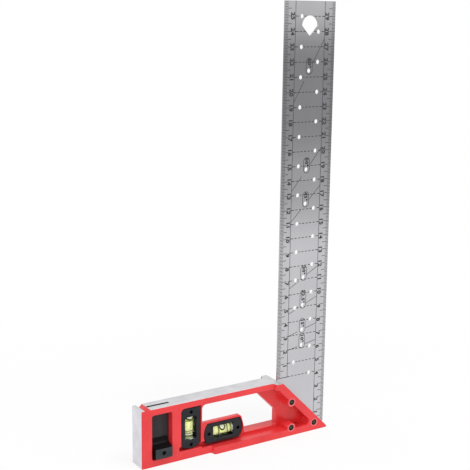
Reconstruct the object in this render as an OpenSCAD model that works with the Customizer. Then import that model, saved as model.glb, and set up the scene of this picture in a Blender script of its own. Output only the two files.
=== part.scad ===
// Try square, also sold as a mitre square: a cast stock with a steel rule blade,
// a plumb vial, a level vial and a ledge that slides up out of the stock.
// X runs along the stock, with 0 at the blade's inner edge. Y runs away from the
// front, with 0 in the middle of the blade. Z is up, with 0 at the stock's outer face.

/* [Blade] */
// Length of the blade, from the stock's outer face
blade_len = 300; // [220:10:400]
// Width of the blade
blade_w = 41.5; // [40:0.5:50]
// Thickness of the blade
blade_t = 1; // [0.6:0.1:1.6]
// Diameter of the marking holes
mark_d = 2.5; // [1:0.1:3]
// Distance of each column of marking holes from the blade's edge beside it
mark_column = 13.9; // [12:0.1:16]
// Height step between the marking holes of one column
mark_step = 20; // [10:5:40]
// Radius of the hanging hole
hang_r = 5.8; // [4:0.1:7]
// Distance of the hanging hole's centre below the blade's top
hang_drop = 15; // [12:1:30]

/* [Stock] */
// Height of the stock, from its outer to its inner face
stock_h = 40; // [38:1:50]
// Length of the stock to the left of the blade's inner edge
stock_reach = 110; // [106:1:130]
// How far the stock's foot runs to the right of the blade's inner edge
nose_reach = 38.5; // [37:0.5:44]
// Thickness of the stock along its inner face
thin_t = 13; // [12:0.5:18]
// Thickness of the stock at its nose and at the foot beside the blade
thick_t = 21; // [19:0.5:30]
// Thickness of the web between the rims
web_t = 5; // [4:0.25:6]
// Height of the rim under the inner face
top_rim_h = 4.3; // [3.5:0.1:5]
// Height of the foot rim
foot_rim_h = 5; // [4:0.1:6]
// Width of the sloping rim on the nose, square to the slope
nose_rim_w = 5.5; // [4:0.1:7]
// Diameter of the three bosses that hold the blade's rivets
boss_d = 7; // [6:0.1:9]
// Diameter of the blade's rivets
rivet_d = 4.2; // [3:0.1:5]
// Depth of the notch across the inner face, where the angle lines start
notch_depth = 2.2; // [1:0.1:3]

/* [Ledge] */
// Width of the sliding ledge
ledge_w = 15.8; // [15:0.1:18]
// Thickness of the sliding ledge
ledge_t = 2; // [1.5:0.1:3]
// How far the ledge slides up
ledge_travel = 18; // [10:1:18]
// Width of the thumb button
button_w = 12.4; // [10:0.1:13]
// Height of the thumb button's front
button_h = 7.6; // [6:0.1:8]
// How far the thumb button stands out of the stock
button_proud = 2.6; // [1:0.1:4]

/* [Vials] */
// Length of the level vial's frame
level_frame_len = 30.6; // [29.6:0.1:31.4]
// Length of the plumb vial's frame
plumb_frame_len = 29; // [28.4:0.1:30]
// Width of a vial frame
frame_w = 14.6; // [13.6:0.1:15]
// How far a round end of a frame stands out in its middle
frame_bow = 2.4; // [1.5:0.1:4]
// Outer diameter of a vial's tube
tube_d = 8.4; // [7:0.1:9]
// Length of a vial's tube
tube_len = 18.6; // [17:0.1:19]
// Wall of a vial's tube
tube_wall = 0.7; // [0.5:0.05:1]
// Length of the window in a vial frame
sight_len = 15.8; // [12:0.1:16]
// Distance between the two screws of a vial frame
screw_pitch = 23; // [22:0.1:24]

/* [Hidden] */

$fn = 48;
cut = 1;              // how far a cutting shape runs past the face that it cuts
far = 200;            // longer than any part of the stock

thin_half = thin_t / 2;
thick_half = thick_t / 2;
web_half = web_t / 2;
slide_gap = 0.1;      // running clearance on each face of the sliding ledge
side_gap = 0.25;      // clearance at the ledge's edges and round the thumb buttons
seat_gap = 0.3;       // clearance round the vial frames and tubes
blade_gap = 0.05;     // clearance on each face of the blade in its slot
pin_gap = 0.05;       // radial clearance of the rivets and screws

// The blade's slot, its rivets and the bosses that hold them
slot_half = blade_t / 2 + blade_gap;
slot_relief = 1.1;    // how far the slot runs past the blade's inner edge
rivet_r = rivet_d / 2;
rivet_inset = 0.2;    // how far a rivet's ends lie below its boss
boss_r = boss_d / 2;
boss_back = thin_half + 1;    // how far the bosses stand out at the back
foot_rivet_lift = 0.8;        // height of the two lower rivets above the foot rim
upper_rivet_drop = 15.2;      // depth of the upper rivet below the inner face
tip_rivet_inset = 12.2;       // distance of the outermost rivet from the foot's right end
rivet_x = 6.3;
foot_rivet_z = foot_rim_h + foot_rivet_lift;
upper_rivet_z = stock_h - upper_rivet_drop;
tip_rivet_x = nose_reach - tip_rivet_inset;
rivets = [[rivet_x, upper_rivet_z], [rivet_x, foot_rivet_z], [tip_rivet_x, foot_rivet_z]];

// What stands near the stock's free end keeps its distance from that end
notch_inset = 4.7;
ledge_inset = 15.2;
plumb_inset = 37.1;
notch_x = notch_inset - stock_reach;
ledge_x = ledge_inset - stock_reach;
plumb_x = plumb_inset - stock_reach;

// The vials' seats. The strip is the thin wall right of the plumb vial
vial_seat_z = 6.5;    // lowest point of both vial frames
strip_t = 0.7;
level_lead = 1.55;    // wall between the strip and the level vial's seat
strip_x = plumb_x + frame_w / 2 + seat_gap + strip_t;
level_x = strip_x + level_lead + seat_gap + level_frame_len / 2;
plumb_z = vial_seat_z + plumb_frame_len / 2;
level_z = vial_seat_z + frame_w / 2;
channel_step = 1.1;   // the foot rim is this much higher below the plumb vial
channel_lead = 1.8;   // how far the channel below the plumb vial runs past its frame
channel_rise = 3;     // how far that channel runs up beside the frame

// The steps between the thin and the thick part of the stock
top_step_x = -8;
foot_step_inset = 6.6;        // distance of the foot's step from the strip
foot_step_x = strip_x + foot_step_inset;
step_chamfer = 0.9;   // chamfer at the foot of a step
step_draft = 0.2;     // how far a step's wall leans back
step_round = 1;       // how far its upper edge is cut away

// The vial frames and the screws that hold their halves together
tube_r = tube_d / 2;
vial_forward = 1.4;   // how far the vials' axes lie in front of the web's middle
bezel_drop = 0.2;     // how far a front frame lies below the stock's face
back_cover = 1.4;     // how far a back frame's face lies behind its tube
front_frame_t = thin_half - bezel_drop - web_half;
back_frame_t = tube_r - vial_forward + back_cover - web_half;
front_bevel = 0.7;
back_bevel = 0.6;
frame_corner = 2.4;   // radius of the plumb frame's one round corner
frame_end_r = (frame_w * frame_w / 4 + frame_bow * frame_bow) / (2 * frame_bow);
sight_w = tube_d + 0.2;
sight_flare = 0.45;   // chamfer round a frame's window
rail_gap = 0.4;       // clearance between a tube and the rails beside it
rail_t = 0.9;
frame_screw_r = 0.9;
frame_head_r = 1.2;
frame_head_t = 0.8;
head_sink = 1.1;
screw_rise = 0.3;     // how far a screw's tip lies below the back frame's face

// The housing round the level vial, and the big window in the web beside it
housing_wall = 1.3;
housing_end = 0.75;   // its wall at the middle of the frame's round end
housing_lean = 2.6;   // how far its right side leans in above the vial's axis
housing_land = 3.1;   // depth of its flat top
housing_draft = 2.9;  // how much lower its top is at the web's back
housing_foot = vial_seat_z + 2;
housing_right = level_x + level_frame_len / 2 + seat_gap + housing_end;
housing_top = vial_seat_z + frame_w + seat_gap + housing_wall;
web_top = housing_top - housing_draft;
window_right = -1.6;
window_foot = foot_rim_h + 1.9;
window_top = stock_h - top_rim_h;
slant_inset = 23.6;
slant = stock_h - slant_inset;        // X plus Z along the window's slanting corner

// The ledge's window, channel and button
ledge_lap = 0.4;      // how far the channel runs beside the window, at each edge
ledge_window_w = ledge_w - 2 * ledge_lap;
ledge_window_foot = 4.5;
ledge_foot = 4.3;
ledge_top_drop = 0.3; // how far the lowered ledge lies below the inner face
ledge_top = stock_h - ledge_top_drop;
button_foot = ledge_window_foot + side_gap;
button_depth = thin_half + button_proud - ledge_t / 2;
button_top = window_top - side_gap - ledge_travel;
button_base_t = 1;    // thickness of the button's foot plate above its pad
ledge_screw_lift = 0.9;       // height of the screw above the middle of the pad
ledge_screw_z = button_foot + button_h / 2 + ledge_screw_lift;
ledge_screw_r = 0.9;
ledge_head_r = 1.4;
ledge_head_t = 1.2;

red = [0.88, 0.12, 0.12];
steel = [0.72, 0.73, 0.75];
black = [0.17, 0.17, 0.19];

// Rounded corners of an outline whose points are [x, z, radius]
function unit(v) = v / norm(v);
function arc_at(a, p, b, r, n = 6) =
    let (u = unit(a - p), v = unit(b - p), half = acos(u * v) / 2,
         c = p + unit(u + v) * r / sin(half),
         s = p + u * r / tan(half) - c, e = p + v * r / tan(half) - c,
         turn = (cross(s, e) > 0 ? 1 : -1) * (180 - 2 * half))
    [for (i = [0 : n]) let (t = turn * i / n)
        c + [s[0] * cos(t) - s[1] * sin(t), s[0] * sin(t) + s[1] * cos(t)]];
function flat(p) = [p[0], p[1]];
function rounded(pts) = let (n = len(pts))
    [for (i = [0 : n - 1]) each (pts[i][2] > 0
        ? arc_at(flat(pts[(i + n - 1) % n]), flat(pts[i]), flat(pts[(i + 1) % n]), pts[i][2])
        : [flat(pts[i])])];

// An outline in X and Z, from depth y0 to depth y1
module slab(y0, y1) {
    translate([0, y1, 0]) rotate([90, 0, 0]) linear_extrude(y1 - y0) children();
}

// A round hole or pin along Y
module along_y(x, z, r, y0, y1) {
    translate([x, y1, z]) rotate([90, 0, 0]) cylinder(r = r, h = y1 - y0);
}

module stock_outline() {
    polygon(rounded([
        [-stock_reach, 0, 0.8], [nose_reach, 0, 0.8],
        [nose_reach - stock_h, stock_h, 1], [-stock_reach, stock_h, 0]]));
}

// The sunk field inside the rims, right of the strip beside the plumb vial
module field_outline() {
    inner = nose_reach - nose_rim_w * sqrt(2);
    nose_x = tip_rivet_x - boss_r - 1;
    polygon(rounded([
        [strip_x, foot_rim_h, 0], [nose_x - 1, foot_rim_h, 1.5], [nose_x, inner - nose_x, 1.5],
        [inner - window_top, window_top, 2], [strip_x, window_top, 3]]));
}

// The right side of the housing, from its foot up to the given height: it follows
// the frame's round end and leans in to a round corner
function housing_side(foot, foot_round, top, top_round) =
    let (lean = housing_lean * (top - level_z) / (housing_top - level_z))
    [[housing_right, foot, foot_round], [housing_right, level_z, frame_end_r],
     [housing_right - lean, top, top_round]];
function backwards(list) = [for (i = [len(list) - 1 : -1 : 0]) list[i]];

// The window that runs right through the web
module window_outline() {
    polygon(rounded(concat(
        [[strip_x, web_top, 0.8]],
        backwards(housing_side(window_foot, 0.8, web_top, 0)),
        [[window_right, window_foot, 1], [window_right, slant - window_right, 1],
         [slant - window_top, window_top, 1], [strip_x, window_top, 3]])));
}

// The thick part of the stock seen from above, right of a step
module thick_plan(x) {
    inner = x + step_chamfer;
    outer = inner + step_draft;
    half = [
        [x, thin_half], [inner, thin_half + step_chamfer], [outer, thick_half - step_round],
        [outer + step_round, thick_half], [far, thick_half]];
    polygon(concat(half, [for (p = backwards(half)) [p[0], -p[1]]]));
}

module thick_rims() {
    intersection() {
        slab(-thick_half, thick_half) difference() {
            stock_outline();
            field_outline();
        }
        union() {
            linear_extrude(stock_h / 2) thick_plan(foot_step_x);
            translate([0, 0, stock_h / 4]) linear_extrude(stock_h) thick_plan(top_step_x);
        }
    }
}

// The wall round the level vial, with a top that falls away to the back
module level_housing() {
    intersection() {
        slab(-thin_half, web_half) polygon(rounded(concat(
            [[strip_x - strip_t, housing_foot, 0]],
            housing_side(housing_foot, 1, housing_top, 2.4),
            [[strip_x - strip_t, housing_top, 0]])));
        translate([strip_x - strip_t, 0, 0]) rotate([90, 0, 90]) linear_extrude(far) polygon([
            [-thin_half, 0], [web_half, 0], [web_half, web_top],
            [housing_land - thin_half, housing_top], [-thin_half, housing_top]]);
    }
}

// The outline of a vial frame, along X: a bar with round ends, or with its upper end
// cut straight and one corner rounded
module frame_outline(length, grow, straight_end) {
    half_l = length / 2 + grow;
    half_w = frame_w / 2 + grow;
    end_r = frame_end_r + grow;
    intersection() {
        square([2 * half_l, 2 * half_w], center = true);
        union() {
            for (side = [-1, 1]) translate([side * (half_l - end_r), 0]) circle(r = end_r, $fn = 96);
            if (straight_end) polygon(rounded([
                [0, -half_w, 0], [half_l, -half_w, 0], [half_l, half_w, frame_corner + grow],
                [0, half_w, 0]]));
        }
    }
}

// Puts what is drawn flat, along X and facing up, on the stock at a vial's place
module at_level() {
    translate([level_x, 0, level_z]) rotate([90, 0, 0]) children();
}
module at_plumb() {
    translate([plumb_x, 0, plumb_z]) rotate([90, 0, 0]) rotate([0, 0, 90]) children();
}

// What the web loses for one vial: a slot for the tube and its rails, and two screw holes
module vial_cuts() {
    slot_w = tube_d + 2 * (rail_gap + rail_t + seat_gap);
    cube([tube_len + 2 * seat_gap, slot_w, 2 * thick_half], center = true);
    for (side = [-1, 1]) translate([side * screw_pitch / 2, 0, -thick_half]) {
        cylinder(r = frame_screw_r + pin_gap, h = thick_t);
    }
}

module stock() {
    color(red) difference() {
        union() {
            slab(-web_half, web_half) difference() {
                stock_outline();
                window_outline();
            }
            slab(-thin_half, thin_half) difference() {
                stock_outline();
                field_outline();
            }
            thick_rims();
            level_housing();
            for (p = rivets) along_y(p[0], p[1], boss_r, -thick_half, boss_back);
        }
        // The blade's slot and the rivets' holes
        translate([-slot_relief, -slot_half, -cut]) cube([far, 2 * slot_half, stock_h + 2 * cut]);
        for (p = rivets) {
            along_y(p[0], p[1], rivet_r + pin_gap, -thick_half - cut, thick_half + cut);
        }
        // The plumb vial's seat, right through to the web from both sides
        for (side = [0, 1]) mirror([0, side, 0]) {
            at_plumb() translate([0, 0, web_half]) linear_extrude(thick_half) {
                frame_outline(plumb_frame_len, seat_gap, true);
            }
            slab(-thick_half, -web_half) polygon(rounded([
                [plumb_x - frame_w / 2 - channel_lead, foot_rim_h + channel_step, 0.8],
                [level_x, foot_rim_h + channel_step, 0],
                [level_x, vial_seat_z + channel_rise, 0],
                [plumb_x - frame_w / 2 - channel_lead, vial_seat_z + channel_rise, 0.8]]));
        }
        // The level vial's seat
        at_level() translate([0, 0, web_half]) linear_extrude(thick_half) {
            frame_outline(level_frame_len, seat_gap, false);
        }
        at_plumb() vial_cuts();
        at_level() vial_cuts();
        // The ledge's window, and the channel that it slides in
        slab(-thin_half - cut, thin_half + cut) polygon(rounded([
            [ledge_x - ledge_window_w / 2, ledge_window_foot, 1.5],
            [ledge_x + ledge_window_w / 2, ledge_window_foot, 1.5],
            [ledge_x + ledge_window_w / 2, window_top, 1.5],
            [ledge_x - ledge_window_w / 2, window_top, 1.5]]));
        translate([ledge_x - ledge_w / 2 - side_gap, -ledge_t / 2 - slide_gap, ledge_foot - side_gap]) {
            cube([ledge_w + 2 * side_gap, ledge_t + 2 * slide_gap, stock_h]);
        }
        // The notch across the inner face
        slab(-thin_half - cut, thin_half + cut) polygon([
            [notch_x - notch_depth - cut, stock_h + cut], [notch_x, stock_h - notch_depth],
            [notch_x + notch_depth + cut, stock_h + cut]]);
    }
}

// Marking holes: two columns, and the holes of the angle lines between them
angles = [10, 15, 22.5, 30, 45, 50, 60];
second_column = blade_w - mark_column;
angle_column = blade_w / 2;
angle_pivot_lead = 2.35;      // distance of the lines' meeting point from the notch
angle_pivot_x = notch_x + angle_pivot_lead;
function angle_z(a) = stock_h + (angle_column - angle_pivot_x) * tan(a);
mark_lead = 10;       // height of the lowest marking hole above the inner face
mark_first = stock_h + mark_lead;
mark_margin = 10;     // no marking hole lies nearer to the blade's top
mark_top = blade_len - mark_margin;
mark_left_out = mark_first + mark_step;       // the first column has no hole here

module blade() {
    hang_x = blade_w / 2;
    hang_z = blade_len - hang_drop;
    color(steel) difference() {
        translate([0, -blade_t / 2, 0]) cube([blade_w, blade_t, blade_len]);
        along_y(hang_x, hang_z, hang_r, -blade_t, blade_t);
        slab(-blade_t, blade_t) polygon([
            [hang_x - hang_r * 0.85, hang_z - hang_r * 0.52], [hang_x, hang_z - hang_r * 1.45],
            [hang_x + hang_r * 0.85, hang_z - hang_r * 0.52]]);
        for (z = [mark_first : mark_step : mark_top]) if (z != mark_left_out) {
            along_y(mark_column, z, mark_d / 2, -blade_t, blade_t);
        }
        for (z = [mark_first + mark_step / 2 : mark_step : mark_top]) {
            along_y(second_column, z, mark_d / 2, -blade_t, blade_t);
        }
        for (a = angles) along_y(angle_column, angle_z(a), mark_d / 2, -blade_t, blade_t);
        for (p = rivets) along_y(p[0], p[1], rivet_r + pin_gap, -blade_t, blade_t);
    }
}

// Pins that hold the blade, nearly flush with their bosses
module blade_rivets() {
    color(black) for (p = rivets) {
        along_y(p[0], p[1], rivet_r, rivet_inset - thick_half, boss_back - rivet_inset);
    }
}

module ledge_plate() {
    color(black) difference() {
        translate([ledge_x - ledge_w / 2, -ledge_t / 2, ledge_foot]) {
            cube([ledge_w, ledge_t, ledge_top - ledge_foot]);
        }
        along_y(ledge_x, ledge_screw_z, ledge_screw_r + pin_gap, -ledge_t, ledge_t);
    }
}

// A thumb button, as seen on the front: a square pad below a steep hollow ramp
module ledge_button() {
    front = -ledge_t / 2 - button_depth;
    base = -ledge_t / 2 - button_base_t;
    pad_top = button_foot + button_h;
    difference() {
        intersection() {
            translate([ledge_x - far / 2, 0, 0]) rotate([90, 0, 90]) linear_extrude(far) {
                polygon(rounded([
                    [-ledge_t / 2, button_foot, 0], [front, button_foot + 0.8, 0.8],
                    [front, pad_top, 0.8], [base, pad_top + 1.6, 2],
                    [base, button_top, 0], [-ledge_t / 2, button_top, 0]]));
            }
            slab(front - cut, 0) polygon(rounded([
                [ledge_x - button_w / 2, button_foot, 1.5], [ledge_x + button_w / 2, button_foot, 1.5],
                [ledge_x + button_w / 2, button_top, 0.6], [ledge_x - button_w / 2, button_top, 0.6]]));
        }
        along_y(ledge_x, ledge_screw_z, ledge_screw_r + pin_gap, front - cut, 0);
        along_y(ledge_x, ledge_screw_z, ledge_head_r + pin_gap, front - cut,
            front + head_sink + ledge_head_t);
    }
}
module ledge_button_front() {
    color(black) ledge_button();
}
module ledge_button_back() {
    color(black) mirror([0, 1, 0]) ledge_button();
}
module ledge_screw() {
    reach = ledge_t / 2 + button_depth - head_sink;
    color(black) {
        along_y(ledge_x, ledge_screw_z, ledge_screw_r, -reach, reach);
        along_y(ledge_x, ledge_screw_z, ledge_head_r, -reach, ledge_head_t - reach);
        along_y(ledge_x, ledge_screw_z, ledge_head_r, reach - ledge_head_t, reach);
    }
}

// A round plate whose upper edge is bevelled
module bevelled_round(r, t, bevel) {
    cylinder(r = r, h = t - bevel);
    translate([0, 0, t - bevel]) cylinder(r1 = r, r2 = r - bevel, h = bevel);
}

// A long bar along X whose upper edges are bevelled
module bevelled_bar(length, width, t, bevel) {
    half = width / 2;
    translate([-length / 2, 0, 0]) rotate([90, 0, 90]) linear_extrude(length) polygon([
        [-half, 0], [half, 0], [half, t - bevel], [half - bevel, t],
        [bevel - half, t], [-half, t - bevel]]);
}

// One half of a vial frame, from its seat at height 0, with its outer edges bevelled
module frame_half(length, t, bevel, straight_end) {
    half_l = length / 2;
    half_w = frame_w / 2;
    intersection() {
        bevelled_bar(length, frame_w, t, bevel);
        union() {
            for (side = [-1, 1]) translate([side * (half_l - frame_end_r), 0, 0]) {
                bevelled_round(frame_end_r, t, bevel, $fn = 96);
            }
            if (straight_end) intersection() {
                rotate([0, 0, 90]) bevelled_bar(2 * frame_w, length, t, bevel);
                translate([0, -half_w, 0]) cube([half_l, frame_w, t]);
                union() {
                    translate([0, -half_w, 0]) cube([half_l, frame_w - frame_corner, t]);
                    translate([0, -half_w, 0]) cube([half_l - frame_corner, frame_w, t]);
                    translate([half_l - frame_corner, half_w - frame_corner, 0]) {
                        bevelled_round(frame_corner, t, bevel);
                    }
                }
            }
        }
    }
}
module tube_bed() {
    translate([0, 0, vial_forward]) rotate([0, 90, 0]) {
        cylinder(r = tube_r + seat_gap, h = tube_len + 2 * seat_gap, center = true);
    }
}

// The window in a frame whose face lies at height t, with a chamfer at that face
module sight(t) {
    round = 1;
    translate([0, 0, -cut]) linear_extrude(far) {
        square([sight_len - 2 * round, sight_w], center = true);
        square([sight_len, sight_w - 2 * round], center = true);
        for (sx = [-1, 1], sy = [-1, 1]) {
            translate([sx * (sight_len / 2 - round), sy * (sight_w / 2 - round)]) {
                circle(r = round, $fn = 24);
            }
        }
    }
    intersection() {
        flared_bar(sight_w, t);
        rotate([0, 0, 90]) flared_bar(sight_len, t);
    }
}
module flared_bar(width, t) {
    inner = width / 2;
    outer = inner + sight_flare;
    translate([-far / 2, 0, 0]) rotate([90, 0, 90]) linear_extrude(far) polygon([
        [-inner, t - sight_flare], [inner, t - sight_flare], [outer, t], [outer, t + cut],
        [-outer, t + cut], [-outer, t]]);
}

// The front frame has two rails that line the web's slot beside the tube
module frame_front(length, straight_end) {
    face = web_half + front_frame_t;
    color(black) difference() {
        union() {
            translate([0, 0, web_half]) frame_half(length, front_frame_t, front_bevel, straight_end);
            for (side = [-1, 1]) {
                translate([0, side * (tube_r + rail_gap + rail_t / 2), seat_gap / 2]) {
                    cube([tube_len, rail_t, web_t - seat_gap], center = true);
                }
            }
        }
        tube_bed();
        sight(face);
        for (side = [-1, 1]) translate([side * screw_pitch / 2, 0, 0]) {
            cylinder(r = frame_screw_r + pin_gap, h = far);
            translate([0, 0, face - head_sink - frame_head_t]) {
                cylinder(r = frame_head_r + pin_gap, h = far);
            }
        }
    }
}
module frame_back(length, straight_end) {
    color(black) mirror([0, 0, 1]) difference() {
        translate([0, 0, web_half]) frame_half(length, back_frame_t, back_bevel, straight_end);
        mirror([0, 0, 1]) tube_bed();
        sight(web_half + back_frame_t);
        for (side = [-1, 1]) translate([side * screw_pitch / 2, 0, 0]) {
            cylinder(r = frame_screw_r + pin_gap, h = far);
        }
    }
}
module frame_screws() {
    top = web_half + front_frame_t - head_sink;
    bottom = screw_rise - web_half - back_frame_t;
    color(black) for (side = [-1, 1]) translate([side * screw_pitch / 2, 0, 0]) {
        translate([0, 0, bottom]) cylinder(r = frame_screw_r, h = top - bottom);
        translate([0, 0, top - frame_head_t]) cylinder(r = frame_head_r, h = frame_head_t);
    }
}

// A vial: a tube with one closed end, a plug in the other, fluid with a bubble, two rings
plug_len = 2;
end_t = 1.2;          // thickness of a tube's closed end
ring_w = 0.5;
ring_t = 0.15;
ring_pitch = 7;       // distance between a vial's two rings
bore_r = tube_r - tube_wall;
fluid_gap = 0.02;
bubble_r = 2.1;
plumb_bubble_len = 5;
level_bubble_len = 5.4;
bubble_lift = 1;      // how far the level vial's bubble floats above its axis
bubble_margin = 0.7;  // what lies between the plumb vial's bubble and the fluid's end
module vial_axis() {
    translate([0, 0, vial_forward]) rotate([0, 90, 0]) children();
}
module vial_tube() {
    color([0.8, 0.9, 0.6, 0.5]) vial_axis() difference() {
        translate([0, 0, -tube_len / 2]) cylinder(r = tube_r, h = tube_len);
        translate([0, 0, end_t - tube_len / 2]) cylinder(r = bore_r, h = tube_len);
    }
}
module vial_plug() {
    color(black) vial_axis() translate([0, 0, tube_len / 2 - plug_len]) {
        cylinder(r = bore_r - fluid_gap, h = plug_len);
    }
}
// The bubble stands at the given distance from the middle and is this long
module vial_fluid(shift, bubble_len, lift) {
    length = tube_len - end_t - plug_len - 2 * fluid_gap;
    color([0.85, 0.95, 0.3]) vial_axis() difference() {
        translate([0, 0, end_t + fluid_gap - tube_len / 2]) {
            cylinder(r = bore_r - fluid_gap, h = length);
        }
        translate([-lift, 0, shift]) {
            cylinder(r = bubble_r, h = bubble_len - 2 * bubble_r, center = true);
            for (side = [-1, 1]) translate([0, 0, side * (bubble_len / 2 - bubble_r)]) {
                sphere(r = bubble_r);
            }
        }
    }
}
module vial_rings() {
    color(black) vial_axis() for (side = [-1, 1]) {
        translate([0, 0, side * ring_pitch / 2 - ring_w / 2]) difference() {
            cylinder(r = tube_r + ring_t, h = ring_w);
            translate([0, 0, -cut]) cylinder(r = tube_r, h = ring_w + 2 * cut);
        }
    }
}

plumb_bubble_x = tube_len / 2 - plug_len - bubble_margin - plumb_bubble_len / 2;
module plumb_frame_front() { at_plumb() frame_front(plumb_frame_len, true); }
module plumb_frame_back() { at_plumb() frame_back(plumb_frame_len, true); }
module plumb_screws() { at_plumb() frame_screws(); }
module plumb_vial_tube() { at_plumb() vial_tube(); }
module plumb_vial_fluid() { at_plumb() vial_fluid(plumb_bubble_x, plumb_bubble_len, 0); }
module plumb_vial_plug() { at_plumb() vial_plug(); }
module plumb_vial_rings() { at_plumb() vial_rings(); }
module level_frame_front() { at_level() frame_front(level_frame_len, false); }
module level_frame_back() { at_level() frame_back(level_frame_len, false); }
module level_screws() { at_level() frame_screws(); }
module level_vial_tube() { at_level() vial_tube(); }
module level_vial_fluid() { at_level() vial_fluid(0, level_bubble_len, bubble_lift); }
module level_vial_plug() { at_level() vial_plug(); }
module level_vial_rings() { at_level() vial_rings(); }

stock();
blade();
blade_rivets();
ledge_plate();
ledge_button_front();
ledge_button_back();
ledge_screw();
plumb_frame_front();
plumb_frame_back();
plumb_screws();
plumb_vial_tube();
plumb_vial_fluid();
plumb_vial_plug();
plumb_vial_rings();
level_frame_front();
level_frame_back();
level_screws();
level_vial_tube();
level_vial_fluid();
level_vial_plug();
level_vial_rings();
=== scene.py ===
# Looks of a try square: enamelled stock, brushed rule blade with its printed scales,
# two vials in black frames, a sliding ledge, and the plain studio that they stand in.
import math

import bmesh
import bpy
from mathutils import Matrix, Vector


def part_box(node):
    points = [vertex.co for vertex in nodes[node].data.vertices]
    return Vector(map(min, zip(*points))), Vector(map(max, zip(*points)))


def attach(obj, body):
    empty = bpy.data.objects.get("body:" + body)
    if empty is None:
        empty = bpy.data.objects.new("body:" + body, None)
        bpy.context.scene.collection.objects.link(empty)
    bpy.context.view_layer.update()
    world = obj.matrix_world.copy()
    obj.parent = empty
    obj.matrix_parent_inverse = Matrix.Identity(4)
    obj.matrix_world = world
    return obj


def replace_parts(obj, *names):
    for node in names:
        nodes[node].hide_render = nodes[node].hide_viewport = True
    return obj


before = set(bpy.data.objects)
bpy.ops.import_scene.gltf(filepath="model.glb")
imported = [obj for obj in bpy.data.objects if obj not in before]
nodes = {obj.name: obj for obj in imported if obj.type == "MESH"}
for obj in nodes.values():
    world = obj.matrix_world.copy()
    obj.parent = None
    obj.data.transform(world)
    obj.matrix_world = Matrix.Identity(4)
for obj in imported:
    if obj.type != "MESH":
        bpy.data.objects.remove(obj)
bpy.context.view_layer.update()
MM = 0.001

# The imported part: its boxes in metres, and sizes taken from them in millimetres
blade_low, blade_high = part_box("blade")
stock_low, stock_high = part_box("stock")
blade_w = (blade_high.x - blade_low.x) / MM
blade_len = blade_high.z / MM
blade_front = blade_low.y / MM
stock_top = stock_high.z / MM

# The blade's rivets, as (x, z) in millimetres
RIVETS = ((6.3, 24.8), (6.3, 5.8), (26.3, 5.8))


# Material nodes

def new_material(name):
    """A material with its node tree and its shader."""
    mat = bpy.data.materials.new(name)
    mat.use_nodes = True
    tree = mat.node_tree
    return mat, tree, tree.nodes["Principled BSDF"]


def add(tree, kind, inputs=None, **settings):
    """A node of that kind, with its settings, fixed inputs and links made."""
    node = tree.nodes.new(kind)
    for key, value in settings.items():
        setattr(node, key, value)
    for key, value in (inputs or {}).items():
        if isinstance(value, bpy.types.NodeSocket):
            tree.links.new(value, node.inputs[key])
        else:
            node.inputs[key].default_value = value
    return node


def math_node(tree, operation, *values):
    """The result of a sum on numbers."""
    return add(tree, "ShaderNodeMath", dict(enumerate(values)), operation=operation).outputs[0]


def vector_node(tree, operation, *values):
    """The result of a sum on points: a number for a length or a distance, else a point."""
    node = add(tree, "ShaderNodeVectorMath", dict(enumerate(values)), operation=operation)
    return node.outputs["Value" if operation in ("LENGTH", "DISTANCE") else "Vector"]


def place(tree, stretch=(1, 1, 1)):
    """Object coordinates in millimetres, stretched along an axis for grain."""
    coords = add(tree, "ShaderNodeTexCoord")
    mapping = add(tree, "ShaderNodeMapping", {"Vector": coords.outputs["Object"]})
    mapping.inputs["Scale"].default_value = [1 / (MM * s) for s in stretch]
    return mapping.outputs["Vector"]


def along(tree, axis, vector=None):
    """One coordinate of a vector, or else of the place in millimetres."""
    parts = add(tree, "ShaderNodeSeparateXYZ", {"Vector": vector or place(tree)})
    return parts.outputs[axis]


def noise(tree, vector, size, detail=3.0, rough=0.5):
    """Noise whose features are about size millimetres across."""
    node = add(tree, "ShaderNodeTexNoise", {"Vector": vector, "Scale": 1 / size,
                                            "Detail": detail, "Roughness": rough})
    return node.outputs["Fac"]


def spread(tree, value, low, high, start=0.3, end=0.7):
    """The value from start to end becomes a number from low to high."""
    node = add(tree, "ShaderNodeMapRange", {"Value": value, "From Min": start, "From Max": end,
                                            "To Min": low, "To Max": high})
    return node.outputs["Result"]


def ramp(tree, value, stops, ease=False):
    """The value becomes a colour, through stops of (position, colour)."""
    node = add(tree, "ShaderNodeValToRGB", {"Fac": value})
    if ease:
        node.color_ramp.interpolation = "EASE"
    elements = node.color_ramp.elements
    for element, (position, color) in zip(elements, (stops[0], stops[-1])):
        element.position = position
        element.color = (*color, 1)
    for position, color in stops[1:-1]:
        elements.new(position).color = (*color, 1)
    return node.outputs["Color"]


def tint(tree, value, dark, light, start=0.3, end=0.7):
    """The value from start to end becomes a colour from dark to light."""
    return ramp(tree, value, ((start, dark), (end, light)))


def facing(tree, low=0.82, high=0.93):
    """0 to 1 for surfaces that face the front or the back."""
    normal = add(tree, "ShaderNodeTexCoord").outputs["Normal"]
    return spread(tree, math_node(tree, "ABSOLUTE", along(tree, "Y", normal)), 0.0, 1.0, low, high)


def proud(tree, depth_mm, soft_mm=0.1):
    """1 where the surface lies further than that from the middle plane."""
    depth = math_node(tree, "ABSOLUTE", along(tree, "Y"))
    return spread(tree, depth, 0.0, 1.0, depth_mm, depth_mm + soft_mm)


def off_rivets(tree):
    """Distance in millimetres from the axis of the nearest rivet."""
    spot = vector_node(tree, "MULTIPLY", place(tree), (1, 0, 1))
    nearest = None
    for x, z in RIVETS:
        away = vector_node(tree, "DISTANCE", spot, (x, 0, z))
        nearest = away if nearest is None else math_node(tree, "MINIMUM", nearest, away)
    return nearest


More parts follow.
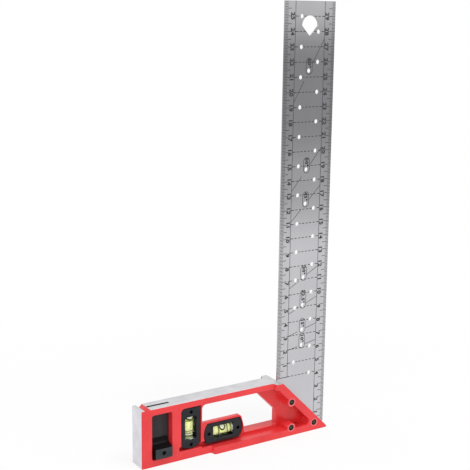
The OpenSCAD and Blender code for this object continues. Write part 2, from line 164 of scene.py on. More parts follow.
def blend(tree, share, first, second, kind="MIX"):
    """The first colour where share is 0, the second where it is 1."""
    mix = add(tree, "ShaderNodeMix", data_type="RGBA", blend_type=kind)
    # The node's colours are its inputs 6 and 7, and its output 2
    for key, value in ((0, share), (6, first), (7, second)):
        if isinstance(value, bpy.types.NodeSocket):
            tree.links.new(value, mix.inputs[key])
        else:
            mix.inputs[key].default_value = (*value, 1) if key else value
    return mix.outputs[2]


def rounded(tree, radius_mm):
    """A normal that rounds the edges over that radius, in millimetres."""
    return add(tree, "ShaderNodeBevel", {"Radius": radius_mm * MM}, samples=6).outputs["Normal"]


def bump(tree, height, depth_mm, strength=1.0, over=None):
    """A bump of that depth in millimetres, on top of another one if given."""
    inputs = {"Height": height, "Distance": depth_mm * MM, "Strength": strength}
    if over:
        inputs["Normal"] = over
    return add(tree, "ShaderNodeBump", inputs).outputs["Normal"]


def connect(tree, shader, **sockets):
    """Links or sets the shader's sockets; underscores stand for spaces."""
    for key, value in sockets.items():
        socket = shader.inputs[key.replace("_", " ")]
        if isinstance(value, bpy.types.NodeSocket):
            tree.links.new(value, socket)
        else:
            socket.default_value = value


# Materials of the stock

EDGE_ROUND = 0.7         # millimetres over which the paint rounds an edge
MILLED_ROUND = 0.8       # the same on bare metal
# A painted highlight: the paint round each rivet turns pink, within these distances
HIGHLIGHT_PINK = (0.90, 0.22, 0.25)
HIGHLIGHT_SHARE = 0.8          # how far the painted highlight round a rivet turns the paint to that pink
RIM_FULL = 2.6           # it does so up to here off the rivet's axis, in millimetres
RIM_END = 3.0            # and no longer from here


def red_enamel():
    """Glossy red paint with faint orange peel and uneven cover, and a pink painted highlight round
    the rivets.
    """
    mat, tree, shader = new_material("red_enamel")
    spot = place(tree)
    cloud = noise(tree, spot, 14, 2)
    peel = noise(tree, spot, 0.9, 2)
    paint = tint(tree, cloud, (0.76, 0.032, 0.038), (0.84, 0.042, 0.048))
    # Painted highlight: a pink ring round each rivet
    rim = spread(tree, off_rivets(tree), HIGHLIGHT_SHARE, 0.0, RIM_FULL, RIM_END)
    connect(tree, shader,
            Base_Color=blend(tree, rim, paint, HIGHLIGHT_PINK),
            Roughness=spread(tree, noise(tree, spot, 3, 3), 0.26, 0.36),
            Normal=bump(tree, peel, 0.015, 0.3, rounded(tree, EDGE_ROUND)))
    return mat


def recess_enamel():
    """The same paint on the cast web, glossier, and darker there as painted shade of the recess."""
    mat, tree, shader = new_material("recess_enamel")
    spot = place(tree)
    cloud = noise(tree, spot, 8, 3)
    grain = noise(tree, spot, 0.6, 3)
    connect(tree, shader,
            # Darker than the front's red: painted shade of the recess
            Base_Color=tint(tree, cloud, (0.67, 0.020, 0.023), (0.79, 0.028, 0.031)),
            Roughness=spread(tree, grain, 0.22, 0.34),
            Normal=bump(tree, grain, 0.03, 0.3, rounded(tree, EDGE_ROUND)))
    return mat


def slot_lining():
    """Painted shade: the near black inside of the slot that the ledge slides in."""
    mat, tree, shader = new_material("slot_lining")
    grain = noise(tree, place(tree), 0.5, 3)
    connect(tree, shader,
            Base_Color=tint(tree, grain, (0.020, 0.010, 0.018), (0.034, 0.018, 0.030)),
            Roughness=spread(tree, grain, 0.5, 0.65))
    return mat


def milled_metal(name, dark, light):
    """Bare cast metal with fine milling lines along the stock."""
    mat, tree, shader = new_material(name)
    lines = noise(tree, place(tree, (60, 1, 60)), 0.5, 3)
    cloud = noise(tree, place(tree), 9, 2)
    connect(tree, shader, Metallic=1.0,
            Base_Color=tint(tree, cloud, dark, light),
            Roughness=spread(tree, lines, 0.48, 0.6),
            Normal=bump(tree, lines, 0.02, 0.5, rounded(tree, MILLED_ROUND)))
    return mat


# Materials of the blade

# Painted reflection: the rule's steel is darker in a broad soft band below its top, as (share of its
# height, colour)
REFLECTION_BAND = ((0.42, (0.600, 0.598, 0.625)), (0.60, (0.353, 0.350, 0.368)), (0.74, (0.246, 0.244, 0.258)),
         (0.87, (0.236, 0.234, 0.248)), (1.0, (0.500, 0.498, 0.518)))
RIVET_MIDDLE = 0.9         # a rivet's lighter middle turns near black between here and RIVET_DARK off its axis
RIVET_DARK = 1.5


def brushed_steel():
    """Satin rule steel, brushed along the blade, with a painted reflection band down its height."""
    mat, tree, shader = new_material("brushed_steel")
    grain = noise(tree, place(tree, (1, 1, 90)), 0.35, 4, 0.6)
    cloud = noise(tree, place(tree, (1, 1, 3)), 22, 2)
    height = spread(tree, along(tree, "Z"), 0.0, 1.0, 0.0, blade_len)
    # The painted reflection band, set by height up the blade
    reflection_band = ramp(tree, height, REFLECTION_BAND, ease=True)
    tone = tint(tree, cloud, (0.94, 0.94, 0.94), (1.0, 1.0, 1.0))
    connect(tree, shader, Metallic=1.0,
            Base_Color=blend(tree, 1.0, reflection_band, tone, "MULTIPLY"),
            Roughness=spread(tree, grain, 0.30, 0.42),
            Normal=bump(tree, grain, 0.012, 0.6))
    return mat


def rivet_metal():
    """Blackened rivet ends, lighter in the middle and near black towards their edge."""
    mat, tree, shader = new_material("rivet_metal")
    spot = place(tree)
    tone = tint(tree, noise(tree, spot, 1.2, 3), (0.045, 0.062, 0.036), (0.085, 0.105, 0.066))
    rim = spread(tree, off_rivets(tree), 0.0, 1.0, RIVET_MIDDLE, RIVET_DARK)
    connect(tree, shader, Metallic=1.0,
            Base_Color=blend(tree, rim, tone, (0.012, 0.010, 0.012)),
            Roughness=spread(tree, noise(tree, spot, 0.5, 3), 0.35, 0.55),
            Normal=bump(tree, noise(tree, spot, 0.3, 2), 0.02, 0.5))
    return mat


def printed_black():
    """The black of the printed marks, with slightly uneven ink."""
    mat, tree, shader = new_material("printed_black")
    ink = noise(tree, place(tree), 0.6, 3)
    connect(tree, shader,
            Base_Color=tint(tree, ink, (0.012, 0.012, 0.014), (0.030, 0.030, 0.034)),
            Roughness=spread(tree, ink, 0.4, 0.6))
    return mat


# Materials of the vial frames, the ledge and the screws

# Near black for painted shade on sides, edges and deep parts
SHADE_BLACK = (0.003, 0.003, 0.004)


def dark_plastic(name, dark, light, rough, depth_mm=0.0):
    """Moulded plastic: grey grained faces beyond that depth; sides, edges and what lies nearer the
    middle are painted shade.
    """
    mat, tree, shader = new_material(name)
    spot = place(tree)
    grain = noise(tree, spot, 0.35, 3)
    face = tint(tree, noise(tree, spot, 5, 2), dark, light)
    # What lies nearer the middle plane than that depth is painted shade
    face = blend(tree, proud(tree, depth_mm), SHADE_BLACK, face)
    connect(tree, shader,
            # Sides and edges that don't face the front or the back are painted shade
            Base_Color=blend(tree, facing(tree, 0.5, 0.6), SHADE_BLACK, face),
            Roughness=spread(tree, grain, rough - 0.06, rough + 0.08),
            Specular_IOR_Level=0.18,
            Normal=bump(tree, grain, 0.02, 0.35))
    return mat


def ribbed_plastic():
    """The ledge's dark plastic, with faint lines along its travel and its sides in painted shade."""
    mat, tree, shader = new_material("ribbed_plastic")
    lines = noise(tree, place(tree, (1, 1, 80)), 1.1, 2)
    grain = noise(tree, place(tree), 0.4, 3)
    face = tint(tree, lines, (0.028, 0.029, 0.033), (0.042, 0.043, 0.047))
    connect(tree, shader,
            # Sides that don't face the front or the back are painted shade
            Base_Color=blend(tree, facing(tree), SHADE_BLACK, face),
            Roughness=spread(tree, grain, 0.38, 0.5),
            Specular_IOR_Level=0.25,
            Normal=bump(tree, lines, 0.03, 0.3))
    return mat


def screw_metal():
    """Blackened screws."""
    mat, tree, shader = new_material("screw_metal")
    spot = place(tree)
    cloud = noise(tree, spot, 1.2, 3)
    connect(tree, shader, Metallic=1.0,
            Base_Color=tint(tree, cloud, (0.010, 0.008, 0.014), (0.030, 0.026, 0.036)),
            Roughness=spread(tree, noise(tree, spot, 0.5, 3), 0.4, 0.6))
    return mat


# Materials of the vials

OLIVE = (0.16, 0.17, 0.035)
DEEP_OLIVE = (0.045, 0.060, 0.012)
PALE_OLIVE = (0.62, 0.64, 0.30)
PALE_END = (0.42, 0.47, 0.30)
# A painted highlight band near the plumb vial's lower end
HIGHLIGHT_WHITE = (1.0, 1.0, 0.9)
BUBBLE_HIGHLIGHT = (1.0, 1.0, 0.97)

# Each bubble, as (x, z) of its middle and its half sizes along X and Z, in millimetres
BUBBLES = {"plumb": (-73.0, 28.5, 3.6, 2.6), "level": (-47.4, 16.2, 2.6, 2.8)}
# A bubble's painted highlight and its painted dark outline end softly at these shares of it
BUBBLE_SPOT = (0.52, 0.62)
BUBBLE_RIM = (0.94, 1.0)
# Lines, ends and a painted highlight seen through the liquid, as (axis, place, half width, colour)
BANDS = {
    "plumb": (("Z", 25.8, 0.5, PALE_OLIVE), ("Z", 17.0, 0.22, OLIVE), ("Z", 16.0, 0.35, HIGHLIGHT_WHITE),
              ("Z", 15.1, 0.5, DEEP_OLIVE), ("Z", 13.75, 0.85, PALE_END)),
    "level": (("X", -49.9, 0.2, OLIVE), ("X", -41.7, 0.22, OLIVE), ("X", -40.75, 0.45, DEEP_OLIVE))}


def clear_acrylic():
    """The vials' clear tubes."""
    mat, tree, shader = new_material("clear_acrylic")
    connect(tree, shader, Base_Color=(0.98, 1.0, 0.95, 1), Transmission_Weight=1.0, IOR=1.2,
            Roughness=spread(tree, noise(tree, place(tree), 4, 2), 0.01, 0.04))
    return mat


def vial_liquid(vial):
    """Pale yellow-green liquid with its lines, glowing as painted light, its bubble a painted
    highlight in a dark outline.
    """
    mat, tree, shader = new_material(vial + "_liquid")
    cloud = noise(tree, place(tree), 3, 2)
    color = tint(tree, cloud, (0.93, 0.93, 0.46), (0.97, 0.98, 0.58))
    for axis, spot, half, shade in BANDS[vial]:
        near = math_node(tree, "COMPARE", along(tree, axis), spot, half)
        color = blend(tree, near, color, shade)
    x, z, half_x, half_z = BUBBLES[vial]
    off = vector_node(tree, "SUBTRACT", place(tree), (x, 0, z))
    off = vector_node(tree, "MULTIPLY", off, (1 / half_x, 0, 1 / half_z))
    away = vector_node(tree, "LENGTH", off)
    # The bubble's painted dark outline
    color = blend(tree, spread(tree, away, 1.0, 0.0, *BUBBLE_RIM), color, DEEP_OLIVE)
    # The bubble's painted highlight
    color = blend(tree, spread(tree, away, 1.0, 0.0, *BUBBLE_SPOT), color, BUBBLE_HIGHLIGHT)
    # A faint glow of painted light
    connect(tree, shader, Base_Color=color, Emission_Color=color, Emission_Strength=0.2,
            Roughness=spread(tree, cloud, 0.03, 0.08),
            Transmission_Weight=0.55, IOR=1.08)
    return mat


def pale_plug():
    """The vials' pale stoppers."""
    mat, tree, shader = new_material("pale_plug")
    cloud = noise(tree, place(tree), 1.2, 3)
    connect(tree, shader,
            Base_Color=tint(tree, cloud, (0.86, 0.88, 0.80), (0.94, 0.95, 0.90)),
            Roughness=spread(tree, cloud, 0.3, 0.45),
            Normal=bump(tree, cloud, 0.02, 0.3))
    return mat


def ring_ink():
    """The olive lines round the vials."""
    mat, tree, shader = new_material("ring_ink")
    cloud = noise(tree, place(tree), 0.8, 2)
    connect(tree, shader,
            Base_Color=tint(tree, cloud, (0.10, 0.11, 0.02), (0.17, 0.18, 0.04)),
            Roughness=spread(tree, cloud, 0.3, 0.45))
    return mat


RED = red_enamel()
RECESS = recess_enamel()
SLOT_SHADE = slot_lining()
MILLED = milled_metal("milled_metal", (0.60, 0.60, 0.62), (0.70, 0.70, 0.72))
# A lighter copy of the milled metal for the stock's end face: painted light
MILLED_END_LIT = milled_metal("milled_end_lit", (0.71, 0.70, 0.74), (0.80, 0.79, 0.83))
STEEL = brushed_steel()
RIVET = rivet_metal()
INK = printed_black()
FRAME_BLACK = dark_plastic("frame_black", (0.018, 0.019, 0.023), (0.028, 0.029, 0.034), 0.45)
# The button is painted shade where it lies less than 5 mm from the middle plane, deep in its window
BUTTON_BLACK = dark_plastic("button_black", (0.032, 0.040, 0.044), (0.044, 0.054, 0.060), 0.5, 5)
LEDGE_BLACK = ribbed_plastic()
SCREW = screw_metal()
ACRYLIC = clear_acrylic()
PLUG = pale_plug()
RING = ring_ink()


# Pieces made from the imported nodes

MERGE = 1e-6             # metres; points closer than this are one
REAL_EDGE = 25           # degrees; a flatter edge is part of a curved face
SHARP_EDGE = 35          # degrees; a flatter edge is shaded smooth
ROUND_STEPS = 2
ROUND_ROOM = 2.2         # edges beside a rounded one are longer than this many of its widths
STOCK_ROUND = 0.4        # how far the casting's long edges are rounded, in millimetres
FACE_NEAR = 0.3          # a working face lies this near the stock's own limit
FACES = 0.5              # least share of a normal along the axis that a working face looks along
FACES_FLAT = 0.9         # the same for the web's flat faces
WEB_HALF = 2.52          # half the thickness of the web, with a little room
SLOT_HALF = 1.2          # half the thickness of the ledge's slot, with its rounding
SLOT_MARGIN = 0.5        # the slot's painted shade reaches this far past the ledge
RIM_FOOT = 18.15         # the back frame's upper rim starts here
RIM_KEEP = 0.28          # share that is kept of what stands above it
RING_RISE = 1.4          # how far the plumb vial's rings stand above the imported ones


def finish_mesh(name, mesh, materials, body):
    """Puts a mesh in the scene as a piece with its materials and body."""
    obj = bpy.data.objects.new(name, mesh)
    bpy.context.scene.collection.objects.link(obj)
    mesh.materials.clear()
    for mat in materials:
        mesh.materials.append(mat)
    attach(obj, body)
    return obj


def soften(mesh, width_mm):
    """Rounds the mesh's long real edges by that width."""
    bm = bmesh.new()
    bm.from_mesh(mesh)
    bmesh.ops.remove_doubles(bm, verts=bm.verts, dist=MERGE)
    bmesh.ops.dissolve_limit(bm, angle_limit=math.radians(1), verts=bm.verts, edges=bm.edges)
    width = width_mm * MM

    def free(edge):
        """Whether no short edge meets this one, which would hold its rounding back."""
        room = ROUND_ROOM * width
        return all(near.calc_length() > room for vert in edge.verts for near in vert.link_edges)

    real = [e for e in bm.edges if len(e.link_faces) == 2
            and e.calc_face_angle(0) > math.radians(REAL_EDGE) and free(e)]
    bmesh.ops.bevel(bm, geom=real, offset=width, offset_type="OFFSET", segments=ROUND_STEPS,
                    profile=0.5, affect="EDGES", clamp_overlap=True)
    bm.to_mesh(mesh)
    bm.free()
    mesh.polygons.foreach_set("use_smooth", [True] * len(mesh.polygons))
    mesh.set_sharp_from_angle(angle=math.radians(SHARP_EDGE))


def paint_node(node, mat):
    """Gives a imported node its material."""
    data = nodes[node].data
    data.materials.clear()
    data.materials.append(mat)


def moved(node, mat, change):
    """A copy of a node's mesh, each point put where change says, which stands for it."""
    mesh = nodes[node].data.copy()
    for vertex in mesh.vertices:
        vertex.co = change(vertex.co / MM) * MM
    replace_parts(finish_mesh(node + "_set", mesh, [mat], "square"), node)


def stock_piece():
    """The cast stock: red paint, a glossier web and a slot in painted shade, faces milled bare, a
    lighter end face as painted light.
    """
    mesh = nodes["stock"].data.copy()
    soften(mesh, STOCK_ROUND)
    looks = [RED, MILLED, RECESS, SLOT_SHADE, MILLED_END_LIT]
    obj = finish_mesh("stock_cast", mesh, looks, "square")
    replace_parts(obj, "stock")
    near = FACE_NEAR * MM
    web = WEB_HALF * MM
    slot = SLOT_HALF * MM
    plate_low, plate_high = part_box("ledge_plate")
    slot_left = plate_low.x - SLOT_MARGIN * MM
    slot_right = plate_high.x + SLOT_MARGIN * MM
    for face in mesh.polygons:
        spot = face.center
        up = face.normal
        look = RED
        # The end face takes the lighter copy of the milled metal, painted light
        if up.x < -FACES and spot.x < stock_low.x + near:
            look = MILLED_END_LIT
        elif up.z > FACES and spot.z > stock_high.z - near:
            look = MILLED
        elif up.z < -FACES and spot.z < stock_low.z + near:
            look = MILLED
        # Painted shade in the slot that the ledge slides in
        elif slot_left < spot.x < slot_right and abs(spot.y) < slot:
            look = SLOT_SHADE
        # The web's flat faces take the darker red, painted shade of the recess
        elif abs(spot.y) < web and abs(up.y) > FACES_FLAT:
            look = RECESS
        face.material_index = looks.index(look)


def lower_rim(co):
    """The back frame's upper rim, put below the edge of the web that hides it."""
    if co.z > RIM_FOOT:
        return Vector((co.x, co.y, RIM_FOOT + (co.z - RIM_FOOT) * RIM_KEEP))
    return co


stock_piece()
moved("level_frame_back", FRAME_BLACK, lower_rim)
moved("plumb_vial_rings", RING, lambda co: co + Vector((0, 0, RING_RISE)))
paint_node("blade_rivets", RIVET)
paint_node("ledge_plate", LEDGE_BLACK)
paint_node("ledge_screw", SCREW)
for button in ("ledge_button_front", "ledge_button_back"):
    paint_node(button, BUTTON_BLACK)
for vial in ("plumb", "level"):
    paint_node(vial + "_frame_front", FRAME_BLACK)
    paint_node(vial + "_screws", SCREW)
    paint_node(vial + "_vial_tube", ACRYLIC)
    paint_node(vial + "_vial_fluid", vial_liquid(vial))
    paint_node(vial + "_vial_plug", PLUG)
paint_node("plumb_frame_back", FRAME_BLACK)
paint_node("level_vial_rings", RING)


# The blade's holes and printed marks, in millimetres on its front face

HOLE_R = 1.5
HOLE_STEP = 20           # between the marking holes of a column
NEAR_COLUMN = 14.2
FAR_COLUMN = 28.0
CIRCLE_STEPS = 24
HANG_STEPS = 36          # on the hanging hole's round half
HANG_R = 6.6
HANG_DROP = 16.1         # the hanging hole's middle lies this far below the blade's top
HANG_POINT = 7.0         # and its point this far below its middle
RIVET_BORE_R = 2.15

PRINT_DEPTH = 0.03
LINE_W = 0.38
TICK_W = 0.32
DASH_W = 0.5
# Lengths of the millimetre, half-centimetre and centimetre ticks
LEFT_TICKS = (2.9, 5.5, 6.2)
RIGHT_TICKS = (2.6, 5.4, 5.8)
CENTIMETRE = 10
HALF_CENTIMETRE = 5
TEXT_SIZE = 4.1
TEXT_WEIGHT = 0.18       # how far each stroke's outline is pushed out
TEXT_STRETCH = 1.15      # share by which words are longer than the plain font's
TEXT_SPACE = 1.12        # share by which their letters stand further apart
TEXT_STEPS = 3           # points on each curve of a letter
LABEL_SIZE = 3.5         # size of the angles' labels
LEFT_LINE = 8.7          # the long line beside each scale
RIGHT_LINE = blade_w - LEFT_LINE
RIGHT_LINE_FOOT = 2      # height at which the right one starts
LEFT_NUMBERS = 6.4       # middle of each scale's numbers
RIGHT_NUMBERS = blade_w - 6.9
SINGLE_DROP = 1.5        # a single digit stands this far below its tick
DASH = 1.8
DASH_PITCH = 3.02
FIRST_DASH = 13.15       # middle of the first short dash
END_DASHES = ((7.9, 11.2), (30.4, RIGHT_LINE))
BAR_STEP = 0.1           # a broken bar is tested for holes this often
SHORTEST_BAR = 0.2
ANGLES = (10, 15, 22.5, 30, 45, 50, 60)
ANGLE_RUN = 123.7        # from the lines' meeting point to the blade's middle
FIELD_W = 5.0
FIELD_LOW = 2.4          # an angle's label field reaches this far below its hole
FIELD_HIGH = 8.3         # and this far above it
FIELD_EXTRA = 2.4        # and further for a label with a decimal
LEFT_GAP = 3.9           # an angle line keeps this far from the field's middle
RIGHT_GAP = 2.8

blade_middle = blade_w / 2
hang_z = blade_len - HANG_DROP
foot_z = int(round(stock_top))
top_z = int(round(blade_len))


def angle_height(angle):
    """Height at which an angle line crosses the blade's middle."""
    return stock_top + ANGLE_RUN * math.tan(math.radians(angle))


def marking_holes():
    """The middles of the marking holes, as (x, z)."""
    first = foot_z + HOLE_STEP // 2
    missing = first + HOLE_STEP
    holes = [(NEAR_COLUMN, z) for z in range(first, top_z, HOLE_STEP) if z != missing]
    holes += [(FAR_COLUMN, z) for z in range(foot_z, top_z, HOLE_STEP)]
    holes += [(blade_middle, angle_height(angle)) for angle in ANGLES]
    return holes


HOLES = marking_holes()


def over_hole(x, z):
    """Whether that point lies over a hole in the blade."""
    if any(math.hypot(x - hx, z - hz) < HOLE_R for hx, hz in HOLES):
        return True
    across = abs(x - blade_middle)
    above = z - hang_z
    if above > 0:
        return math.hypot(across, above) < HANG_R
    return across < HANG_R * (HANG_POINT + above) / HANG_POINT


def arc_points(x, z, radius, start, end, steps=10):
    """Points on an arc, angles in degrees."""
    points = []
    for i in range(steps + 1):
        turn = math.radians(start + (end - start) * i / steps)
        points.append((x + radius * math.cos(turn), z + radius * math.sin(turn)))
    return points


def circle_points(x, z, radius):
    """Points round a circle."""
    return arc_points(x, z, radius, 0, 360 - 360 / CIRCLE_STEPS, CIRCLE_STEPS - 1)


def curve_mesh(curve):
    """The mesh of a curve or a text, which is then removed."""
    obj = bpy.data.objects.new("curve", curve)
    bpy.context.scene.collection.objects.link(obj)
    bpy.context.view_layer.update()
    mesh = bpy.data.meshes.new_from_object(obj.evaluated_get(bpy.context.evaluated_depsgraph_get()))
    bpy.data.objects.remove(obj)
    bpy.data.curves.remove(curve)
    return mesh


def blade_piece():
    """The blade with its holes as wide as in the photograph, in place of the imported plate."""
    curve = bpy.data.curves.new("blade_sheet", "CURVE")
    curve.dimensions = "2D"
    curve.fill_mode = "BOTH"
    curve.extrude = (blade_high.y - blade_low.y) / 2
    plate = [(0, 0), (blade_w, 0), (blade_w, blade_len), (0, blade_len)]
    drop = arc_points(blade_middle, hang_z, HANG_R, 0, 180, HANG_STEPS)
    drop.append((blade_middle, hang_z - HANG_POINT))
    loops = [plate, drop]
    loops += [circle_points(x, z, HOLE_R) for x, z in HOLES]
    loops += [circle_points(x, z, RIVET_BORE_R) for x, z in RIVETS]
    for points in loops:
        spline = curve.splines.new("POLY")
        spline.points.add(len(points) - 1)
        spline.use_cyclic_u = True
        for spot, (x, z) in zip(spline.points, points):
            spot.co = (x * MM, z * MM, 0, 1)
    mesh = curve_mesh(curve)
    mesh.transform(Matrix(((1, 0, 0), (0, 0, -1), (0, 1, 0))).to_4x4())
    bm = bmesh.new()
    bm.from_mesh(mesh)
    bmesh.ops.remove_doubles(bm, verts=bm.verts, dist=MERGE)
    bmesh.ops.recalc_face_normals(bm, faces=bm.faces)
    bm.to_mesh(mesh)
    bm.free()
    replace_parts(finish_mesh("blade_sheet", mesh, [STEEL], "square"), "blade")


def bar(bm, start, end, width):
    """A thin printed bar from start to end, both (x, z)."""
    a = Vector(start)
    b = Vector(end)
    side = (b - a).normalized().orthogonal() * width / 2
    rings = []
    for depth in (blade_front - PRINT_DEPTH / 2, blade_front + PRINT_DEPTH / 2):
        rings.append([bm.verts.new((p.x * MM, depth * MM, p.y * MM))
                      for p in (a - side, b - side, b + side, a + side)])
    front, back = rings
    bm.faces.new(front)
    bm.faces.new(list(reversed(back)))
    for i in range(4):
        j = (i + 1) % 4
        bm.faces.new((front[j], front[i], back[i], back[j]))


def broken_bar(bm, start, end, width):
    """A printed bar that leaves out what lies over the blade's holes."""
    a = Vector(start)
    b = Vector(end)
    steps = max(2, int((b - a).length / BAR_STEP))
    runs = [[]]
    for i in range(steps + 1):
        spot = a.lerp(b, i / steps)
        if over_hole(spot.x, spot.y):
            runs.append([])
        else:
            runs[-1].append(spot)
    for run in runs:
        if run and (run[-1] - run[0]).length > SHORTEST_BAR:
            bar(bm, run[0], run[-1], width)


def scale_ticks(bm, edge_x, inward, zero, lengths):
    """Millimetre, half and full centimetre ticks along one edge of the blade."""
    for step in range(1, top_z - zero):
        length = lengths[0]
        if step % CENTIMETRE == 0:
            length = lengths[2]
        elif step % HALF_CENTIMETRE == 0:
            length = lengths[1]
        width = LINE_W if step % HALF_CENTIMETRE == 0 else TICK_W
        z = zero + step
        bar(bm, (edge_x, z), (edge_x + inward * length, z), width)


def dashed(bm, z):
    """A row of dashes across the blade, with a longer one at each end."""
    for start, end in END_DASHES:
        broken_bar(bm, (start, z), (end, z), DASH_W)
    x = FIRST_DASH
    while x + DASH < END_DASHES[1][0]:
        broken_bar(bm, (x - DASH / 2, z), (x + DASH / 2, z), DASH_W)
        x += DASH_PITCH


def angle_field(angle):
    """Lowest and highest point of an angle's label field."""
    z = angle_height(angle)
    extra = FIELD_EXTRA if angle % 1 else 0
    return z - FIELD_LOW, z + FIELD_HIGH + extra


def field_outline(bm, low, high):
    """The outline of a label field, from low to high."""
    radius = FIELD_W / 2
    points = arc_points(blade_middle, high - radius, radius, 0, 180)
    points += arc_points(blade_middle, low + radius, radius, 180, 360)
    for i, point in enumerate(points):
        bar(bm, point, points[(i + 1) % len(points)], LINE_W)


def angle_line(bm, angle):
    """The two stretches of an angle line, between the long lines and on each side of its label."""
    z = angle_height(angle)
    slope = math.tan(math.radians(angle))
    for start, end in ((LEFT_LINE, blade_middle - LEFT_GAP), (blade_middle + RIGHT_GAP, RIGHT_LINE)):
        broken_bar(bm, (start, z + (start - blade_middle) * slope),
                   (end, z + (end - blade_middle) * slope), LINE_W)


def marks_piece():
    """All ticks, lines, dashes and label fields as one thin printed piece."""
    bm = bmesh.new()
    scale_ticks(bm, 0, 1, foot_z, LEFT_TICKS)
    scale_ticks(bm, blade_w, -1, 0, RIGHT_TICKS)
    bar(bm, (LEFT_LINE, foot_z), (LEFT_LINE, top_z), LINE_W)
    bar(bm, (RIGHT_LINE, RIGHT_LINE_FOOT), (RIGHT_LINE, top_z), LINE_W)
    bar(bm, (0, foot_z), (LEFT_LINE, foot_z), DASH_W)
    for z in range(foot_z, top_z, CENTIMETRE):
        dashed(bm, z)
    for angle in ANGLES:
        field_outline(bm, *angle_field(angle))
        angle_line(bm, angle)
    mesh = bpy.data.meshes.new("blade_marks")
    bm.normal_update()
    bm.to_mesh(mesh)
    bm.free()
    finish_mesh("blade_marks", mesh, [INK], "square")


def word(text, x, z, size):
    """The mesh of a word that reads down the blade, centred at x, z."""
    curve = bpy.data.curves.new("word", "FONT")
    curve.body = text
    curve.size = size * MM
    curve.extrude = PRINT_DEPTH / 2 * MM
    curve.offset = TEXT_WEIGHT * MM
    curve.align_x = "CENTER"
    curve.align_y = "CENTER"
    curve.resolution_u = TEXT_STEPS
    curve.space_character = TEXT_SPACE
    mesh = curve_mesh(curve)
    turn = Matrix(((0, 1, 0), (0, 0, -1), (-1, 0, 0))).to_4x4()
    wide = Matrix.Diagonal((TEXT_STRETCH, 1, 1, 1))
    mesh.transform(Matrix.Translation(Vector((x, blade_front, z)) * MM) @ turn @ wide)
    return mesh


def words_piece(name, meshes):
    """One piece of printed words from several meshes."""
    bm = bmesh.new()
    for mesh in meshes:
        bm.from_mesh(mesh)
        bpy.data.meshes.remove(mesh)
    joined = bpy.data.meshes.new(name)
    bm.to_mesh(joined)
    bm.free()
    finish_mesh(name, joined, [INK], "square")


def number_meshes(x, zero):
    """The centimetre numbers of one scale, from 1 to the last below the blade's top."""
    last = int(round(blade_len - zero)) // CENTIMETRE - 1
    return [word(str(n), x, zero + CENTIMETRE * n - (SINGLE_DROP if n < 10 else 0), TEXT_SIZE)
            for n in range(1, last + 1)]


def degree_meshes():
    """The angles' labels, each between its hole and the upper end of its field."""
    return [word(f"{angle:g}°", blade_middle,
                 (angle_height(angle) + HOLE_R + angle_field(angle)[1]) / 2, LABEL_SIZE)
            for angle in ANGLES]


blade_piece()
marks_piece()
words_piece("left_numbers", number_meshes(LEFT_NUMBERS, stock_top))
words_piece("right_numbers", number_meshes(RIGHT_NUMBERS, 0))
words_piece("angle_labels", degree_meshes())


# The studio: a white floor that keeps the shadow, a white surround and two soft lamps, in metres

SURROUND = 0.72
FLOOR_SIZE = 2.4
FLOOR_DROP = 0.05 * MM
FLOOR_WHITE = (0.94, 0.94, 0.94, 1)
# The floor shows this share of pure white up to the first distance, and all of it past the second
NEAR_WHITE = 0.86
WHITE_FROM = 0.12
WHITE_TO = 0.34
# Each lamp's place, the length of its side and its power in watts
LAMPS = {"key_lamp": ((0.3, -0.62, 1.55), 0.5, 8), "fill_lamp": ((-0.9, -0.7, 0.6), 0.8, 3)}
LAMP_AIM = (0, 0, 0.1)
CAMERA_AT = (-0.3931, -0.5587, 0.2903)
CAMERA_AIM = (-0.0362, 0.0, 0.1475)
CAMERA_ROLL = 0.72       # degrees
LENS = 78.3              # millimetres, as the sensor's width
SENSOR = 36
NEAREST = 0.01
WHITE = (1, 1, 1, 1)


def surround():
    """White all round for the camera, glass and metal, and a plain even light otherwise."""
    world = bpy.data.worlds.new("surround")
    bpy.context.scene.world = world
    world.use_nodes = True
    tree = world.node_tree
    tree.nodes.clear()
    path = add(tree, "ShaderNodeLightPath").outputs
    seen = math_node(tree, "MAXIMUM", path["Is Camera Ray"], path["Is Glossy Ray"])
    seen = math_node(tree, "MAXIMUM", seen, path["Is Transmission Ray"])
    light = add(tree, "ShaderNodeBackground", {"Color": WHITE, "Strength": SURROUND})
    white = add(tree, "ShaderNodeBackground", {"Color": WHITE, "Strength": 1.0})
    mix = add(tree, "ShaderNodeMixShader", {0: seen, 1: light.outputs[0], 2: white.outputs[0]})
    add(tree, "ShaderNodeOutputWorld", {"Surface": mix.outputs[0]})


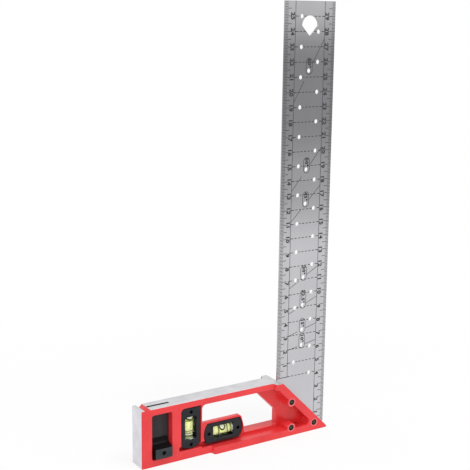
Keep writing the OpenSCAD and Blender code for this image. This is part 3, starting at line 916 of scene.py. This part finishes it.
def floor_white():
    """White that shows to the camera and in metal, and keeps the shadow near the object."""
    mat = bpy.data.materials.new("studio_white")
    mat.use_nodes = True
    tree = mat.node_tree
    tree.nodes.clear()
    path = add(tree, "ShaderNodeLightPath").outputs
    seen = math_node(tree, "MAXIMUM", path["Is Camera Ray"], path["Is Glossy Ray"])
    away = vector_node(tree, "LENGTH", add(tree, "ShaderNodeTexCoord").outputs["Object"])
    near = spread(tree, away, NEAR_WHITE, 1.0, WHITE_FROM, WHITE_TO)
    share = math_node(tree, "MULTIPLY", seen, near)
    matt = add(tree, "ShaderNodeBsdfDiffuse", {"Color": FLOOR_WHITE})
    glow = add(tree, "ShaderNodeEmission", {"Color": WHITE, "Strength": 1.0})
    mix = add(tree, "ShaderNodeMixShader", {0: share, 1: matt.outputs[0], 2: glow.outputs[0]})
    add(tree, "ShaderNodeOutputMaterial", {"Surface": mix.outputs[0]})
    return mat


def floor():
    """A plain floor under the stock."""
    half = FLOOR_SIZE / 2
    corners = ((-half, -half), (half, -half), (half, half), (-half, half))
    mesh = bpy.data.meshes.new("studio_floor")
    mesh.from_pydata([(x, y, -FLOOR_DROP) for x, y in corners], [], [(0, 1, 2, 3)])
    mesh.materials.append(floor_white())
    obj = bpy.data.objects.new("studio_floor", mesh)
    bpy.context.scene.collection.objects.link(obj)


def aimed(spot, aim):
    """The rotation that points a lamp or a camera from spot to aim."""
    return (Vector(aim) - Vector(spot)).to_track_quat("-Z", "Y")


def lamp(name, spot, size, power):
    """A soft square lamp."""
    data = bpy.data.lights.new(name, "AREA")
    data.size = size
    data.energy = power
    obj = bpy.data.objects.new(name, data)
    obj.location = spot
    obj.rotation_euler = aimed(spot, LAMP_AIM).to_euler()
    bpy.context.scene.collection.objects.link(obj)


def camera():
    """The camera, where the photograph was taken from."""
    data = bpy.data.cameras.new("view")
    data.lens = LENS
    data.sensor_width = SENSOR
    data.clip_start = NEAREST
    obj = bpy.data.objects.new("view", data)
    look = aimed(CAMERA_AT, CAMERA_AIM).to_matrix().to_4x4()
    roll = Matrix.Rotation(math.radians(CAMERA_ROLL), 4, "Z")
    obj.matrix_world = Matrix.Translation(CAMERA_AT) @ look @ roll
    bpy.context.scene.collection.objects.link(obj)
    bpy.context.scene.camera = obj


surround()
floor()
for name, (spot, size, power) in LAMPS.items():
    lamp(name, spot, size, power)
camera()
bpy.context.scene.view_settings.view_transform = "Standard"
